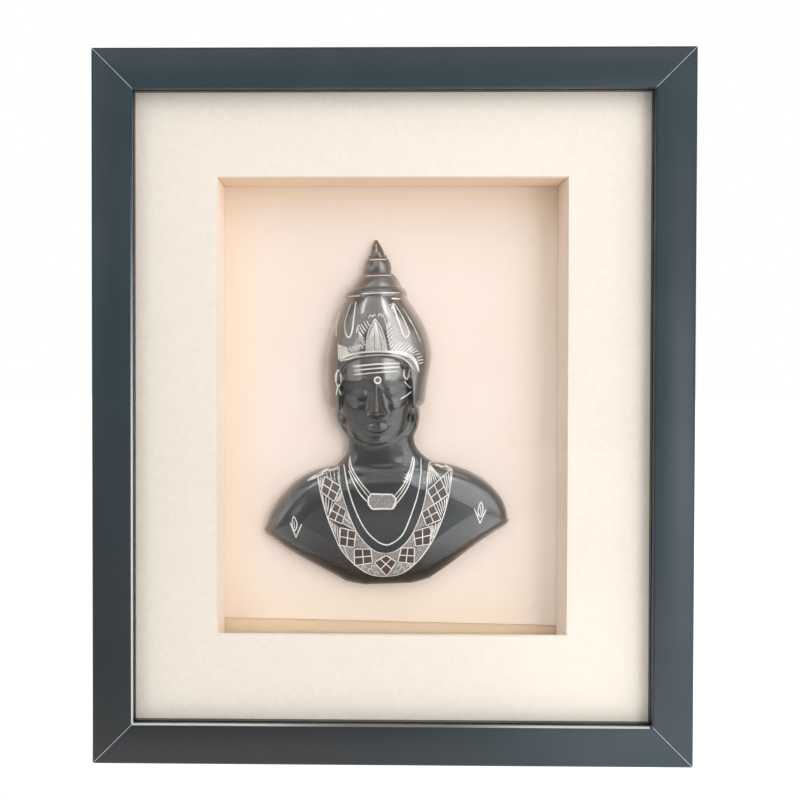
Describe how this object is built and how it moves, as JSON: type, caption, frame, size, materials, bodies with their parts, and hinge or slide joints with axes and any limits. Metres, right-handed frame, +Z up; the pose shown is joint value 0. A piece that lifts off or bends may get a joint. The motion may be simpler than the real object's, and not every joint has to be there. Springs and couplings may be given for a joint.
{
  "type": "framed bust relief",
  "caption": "Half-round cast black metal bust with a tall tiered crown and flush silver inlay, mounted on a card behind a mat in a deep glazed box frame.",
  "frame": {"origin": "middle of the underside of the bottom rail, half-way through the frame's depth", "axes": "+Z up the frame, +X to the right seen from the front, the glass faces -Y"},
  "size_m": [0.279, 0.045, 0.3325],
  "materials": {
    "rail": "satin dark blue-grey paint over a mitred wood moulding",
    "glass": "clear flat picture glass",
    "spacer": "black satin strip",
    "mat": "cream mat board with a pale core",
    "wall": "cream and tan foam-core card strips",
    "card": "pinkish beige matt card",
    "board": "tan backing board",
    "steel": "bright plated steel",
    "bust": "polished blackened zinc alloy",
    "silver": "hammered silver wire and sheet, inlaid flush"
  },
  "bodies": {
    "root": {"rail_top": "rail", "rail_right": "rail", "rail_bottom": "rail", "rail_left": "rail", "glass_pane": "glass", "spacer_left": "spacer", "spacer_right": "spacer", "spacer_bottom": "spacer", "spacer_top": "spacer", "mat_board": "mat", "wall_left": "wall", "wall_right": "wall", "wall_bottom": "wall", "wall_top": "wall", "backing_card": "card", "backing_board": "board", "back_panel": "board", "hanger": "steel", "point_1": "steel", "point_2": "steel", "point_3": "steel", "point_4": "steel", "point_5": "steel", "point_6": "steel", "point_7": "steel", "point_8": "steel", "bust": "bust"}
  },
  "joints": []
}
